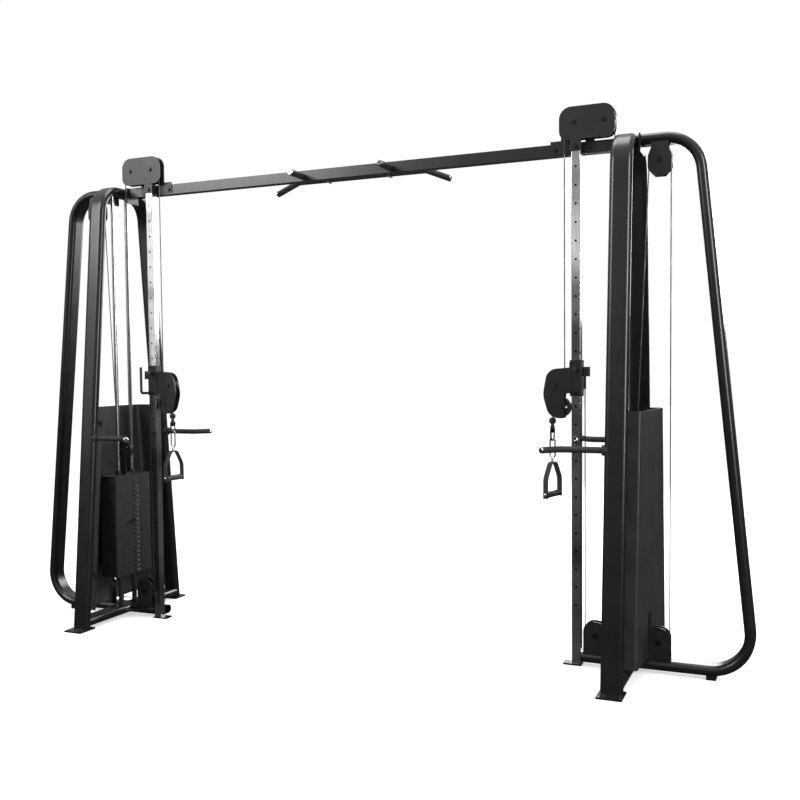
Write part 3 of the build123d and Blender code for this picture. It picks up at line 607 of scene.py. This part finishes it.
def make_hook(side, way):
    hang, turn = way * HANG_X, HANDLE_TURN[side]
    profile = [(0, -BALL_R)]
    for degree in range(-80, 81, 8):
        a = radians(degree)
        seam = 0.0005 if degree == 0 else 0
        profile.append((BALL_R * cos(a) - seam, BALL_R * sin(a)))
    profile.append((0, BALL_R))
    ball = new_object(
        f"{side}_ball_stop",
        *lathe(profile, (hang, CABLE_Y, BALL_TOP - BALL_R), (0, 0, 1), 40), "rubber",
    )
    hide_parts(f"{side}_snap_hook")

    high, gate_end = CLIP_HIGH, 0.016
    corners = [
        (-CLIP_HALF, CLIP_Z), (CLIP_HALF, CLIP_Z), (CLIP_HALF, high), (-CLIP_HALF, high),
    ]
    loop = rounded_path(corners, [CLIP_CORNER] * 4, closed=True, step=10)
    loop = dense(loop + loop[:1], 0.002)

    def bar(i):
        """The gate is the straight part of one side, thinner than the rest."""
        straight_side = loop[i].x > CLIP_HALF - 0.0005
        gate = straight_side and CLIP_Z + gate_end < loop[i].y < high - gate_end
        return disc(GATE_BAR_R if gate else CLIP_BAR_R, 16)

    clip = sweep(hung(hang, turn, loop), bar, closed=True)
    across = Vector((cos(turn), sin(turn), 0))
    normal = across.cross(Vector((0, 0, 1)))
    pivot = Vector((hang, CABLE_Y, high - 0.015)) + across * CLIP_HALF
    pin = lathe(
        [(0, -0.0046), (0.0016, -0.0046), (0.0020, -0.0042), (0.0020, 0.0042),
         (0.0016, 0.0046), (0, 0.0046)],
        pivot, normal, 16,
    )
    swivel = lathe(
        [(0, high - 0.026), (0.0050, high - 0.0255), (0.0086, high - 0.022),
         (0.0104, high - 0.016), (0.0108, high - 0.009), (0.0100, high - 0.001),
         (0.0088, high + 0.006), (0.0070, high + 0.011), (0.0056, high + 0.014),
         (0.0050, BALL_TOP - 0.028), (0, BALL_TOP - 0.027)],
        (hang, CABLE_Y, 0), (0, 0, 1), 32,
    )
    hook = new_object(f"{side}_hook_body", *merged(clip, pin, swivel), "hardware", sharp=40)
    for piece in (ball, hook):
        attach(piece, f"{side}_hook")


# --- Knobs ------------------------------------------------------------------------------
def knob(name, origin, axis, length, shank):
    """Moulded knob with finger lobes; shank is its pin's two ends and radius."""
    radius = KNOB_R
    profile = [(0, 0), (radius * 0.62, 0), (radius * 0.70, 0.0015), (radius * 0.72, 0.004)]
    profile += [(radius * 0.94, 0.007), (radius, 0.010)]
    profile += [(radius, length - 0.006), (radius * 0.93, length - 0.002)]
    profile += [(radius * 0.7, length - 0.0004), (radius * 0.4, length), (0, length)]

    def lobes(angle, height):
        inside = 0.006 < height < length - 0.001
        return -0.0009 * (1 + cos(7 * angle)) if inside else 0

    head = new_object(f"{name}_knob", *lathe(profile, origin, axis, 56, lobes), "grip", 45)
    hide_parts(name)
    low, high, r = shank
    rod = [(0, low), (r * 0.7, low), (r, low + 0.0015), (r, high), (0, high)]
    pin = new_object(f"{name}_shank", *lathe(rod, origin, axis, 24), "steel", 45)
    for piece in (head, pin):
        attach(piece, name)


def plate_middle(plate):
    return STACK_LOW + (plate + WEIGHT_MIDDLE) * WEIGHT_PITCH


def make_knobs(side, way):
    barrel_end = SLEEVE_FRONT - 0.016
    knob(
        f"{side}_pull_pin", (way * RAIL_X, barrel_end - 0.002, PIN_Z), (0, -1, 0),
        0.026, (-0.0212, 0.004, 0.0044),
    )
    selector_z = plate_middle(WEIGHTS - LIFTED)
    face_x = STACK_X - WEIGHT_HALF_X
    knob(
        f"{side}_selector_pin", (way * (face_x - 0.003), CABLE_Y, selector_z), (-way, 0, 0),
        0.022, (-0.0695, 0.004, 0.0047),
    )


# --- Numbers on the weights -----------------------------------------------------------
def numeral_mesh(text):
    curve = bpy.data.curves.new("numeral", "FONT")
    curve.body, curve.size, curve.extrude = text, NUMERAL_SIZE, NUMERAL_DEPTH
    curve.align_x, curve.align_y = "CENTER", "CENTER"
    obj = bpy.data.objects.new("numeral", curve)
    scene.collection.objects.link(obj)
    bpy.context.view_layer.update()
    mesh = bpy.data.meshes.new_from_object(
        obj.evaluated_get(bpy.context.evaluated_depsgraph_get())
    )
    verts = [vertex.co.copy() for vertex in mesh.vertices]
    faces = [tuple(polygon.vertices) for polygon in mesh.polygons]
    bpy.data.objects.remove(obj)
    bpy.data.meshes.remove(mesh)
    return verts, faces


def make_numbers(side, way):
    """Weights in fives, lowest plate heaviest, painted beside the selector holes."""
    groups = {"resting": [], "lifted": []}
    face_x = STACK_X - WEIGHT_HALF_X - 0.00005
    for plate in range(WEIGHTS):
        verts, faces = numeral_mesh(str(5 * (WEIGHTS - plate)))
        z = plate_middle(plate)
        placed = [
            Vector((
                way * (face_x - v.z - NUMERAL_DEPTH), CABLE_Y + NUMERAL_Y - way * v.x, z + v.y,
            ))
            for v in verts
        ]
        groups["resting" if plate < WEIGHTS - LIFTED else "lifted"].append((placed, faces))
    for group, body in (("resting", "root"), ("lifted", f"{side}_lifted_stack")):
        piece = new_object(f"{side}_{group}_numbers", *merged(*groups[group]), "number")
        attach(piece, body)


for side, way in SIDES:
    make_handle(side, way)
    make_hook(side, way)
    make_knobs(side, way)
    make_numbers(side, way)


# --- Floor, light and camera ----------------------------------------------------------
def make_floor():
    mesh = bpy.data.meshes.new("floor")
    reach = 30
    mesh.from_pydata(
        [(-reach, -reach, 0), (reach, -reach, 0), (reach, reach, 0), (-reach, reach, 0)],
        [], [(0, 1, 2, 3)],
    )
    floor = bpy.data.objects.new("floor", mesh)
    scene.collection.objects.link(floor)
    surface = Shader("pale_floor", specular=0.1)
    surface.colour(surface.noise(1.5, 3), [(0.3, (0.80, 0.80, 0.80)), (0.7, (0.83, 0.83, 0.83))])
    surface.rough(surface.noise(8, 3), 0.7, 0.8)
    surface.surface.inputs["Emission Color"].default_value = (1, 1, 1, 1)
    surface.surface.inputs["Emission Strength"].default_value = 0.55
    mesh.materials.append(surface.material)
    floor.visible_glossy = False


def make_world():
    """White behind the object; darker below and lighter above as seen in reflections."""
    world = bpy.data.worlds.new("studio")
    world.use_nodes = True
    tree = world.node_tree
    sky = tree.nodes["Background"]
    place = tree.nodes.new("ShaderNodeTexCoord")
    split = tree.nodes.new("ShaderNodeSeparateXYZ")
    height = tree.nodes.new("ShaderNodeMapRange")
    height.inputs["From Min"].default_value = -1
    ramp = tree.nodes.new("ShaderNodeValToRGB")
    stops = ((0.0, 0.02), (0.47, 0.06), (0.53, 0.16), (0.70, 0.55), (1.0, 0.90))
    while len(ramp.color_ramp.elements) < len(stops):
        ramp.color_ramp.elements.new(0.5)
    for element, (position, value) in zip(ramp.color_ramp.elements, stops):
        element.position = position
        element.color = (value, value, value, 1)
    seen = tree.nodes.new("ShaderNodeLightPath")
    mix = tree.nodes.new("ShaderNodeMix")
    mix.data_type = "RGBA"
    lit, shown = mix.inputs[6], mix.inputs[7]
    shown.default_value = (1, 1, 1, 1)
    tree.links.new(place.outputs["Generated"], split.inputs[0])
    tree.links.new(split.outputs["Z"], height.inputs["Value"])
    tree.links.new(height.outputs[0], ramp.inputs[0])
    tree.links.new(ramp.outputs[0], lit)
    tree.links.new(seen.outputs["Is Camera Ray"], mix.inputs[0])
    tree.links.new(mix.outputs[2], sky.inputs["Color"])
    scene.world = world


def softbox(name, place, aim, size, energy):
    light = bpy.data.lights.new(name, "AREA")
    light.shape = "RECTANGLE"
    light.size, light.size_y = size
    light.energy = energy
    obj = bpy.data.objects.new(name, light)
    obj.location = place
    obj.rotation_mode = "QUATERNION"
    way = Vector(aim) - Vector(place)
    obj.rotation_quaternion = way.to_track_quat("-Z", "Y")
    scene.collection.objects.link(obj)


def make_lights():
    """Soft lights all round; the two weak cards are there for the rails to mirror."""
    softbox("key", (-3.6, -4.4, 4.4), (0, 0, 1.0), (2.6, 2.6), 190)
    softbox("fill", (5.2, -2.6, 2.8), (0.8, 0, 1.2), (0.7, 3.4), 150)
    softbox("left_card", (-3.7, -3.3, 2.2), (-RAIL_X, 0, 2.0), (1.3, 1.9), 6.5)
    softbox("middle_card", (0.2, -4.4, 2.5), (RAIL_X, 0, 1.9), (0.5, 0.45), 0.55)
    softbox("back", (1.4, 5.6, 3.0), (0.2, 0, 1.1), (3.6, 2.4), 230)
    softbox("top", (0.3, 0.4, 6.0), (0.3, 0, 0), (4.0, 2.4), 140)


def make_camera():
    place = (2.085, -4.255, 1.318)
    yaw, pitch, roll = radians(23.53), radians(-2.67), radians(-0.57)
    forward = Vector((-sin(yaw) * cos(pitch), cos(yaw) * cos(pitch), sin(pitch)))
    right = forward.cross(Vector((0, 0, 1))).normalized()
    up = right.cross(forward)
    turned_right = right * cos(roll) + up * sin(roll)
    turned_up = up * cos(roll) - right * sin(roll)
    camera = bpy.data.objects.new("camera", bpy.data.cameras.new("camera"))
    camera.data.lens, camera.data.sensor_width = 43.67, 36
    camera.data.shift_x, camera.data.shift_y = 0.0105, 0.0186
    camera.data.clip_end = 100
    axes = Matrix((turned_right, turned_up, -forward)).transposed()
    camera.matrix_world = Matrix.Translation(place) @ axes.to_4x4()
    scene.collection.objects.link(camera)
    scene.camera = camera


make_floor()
make_world()
make_lights()
make_camera()
scene.view_settings.view_transform = "Standard"

bpy.context.view_layer.update()
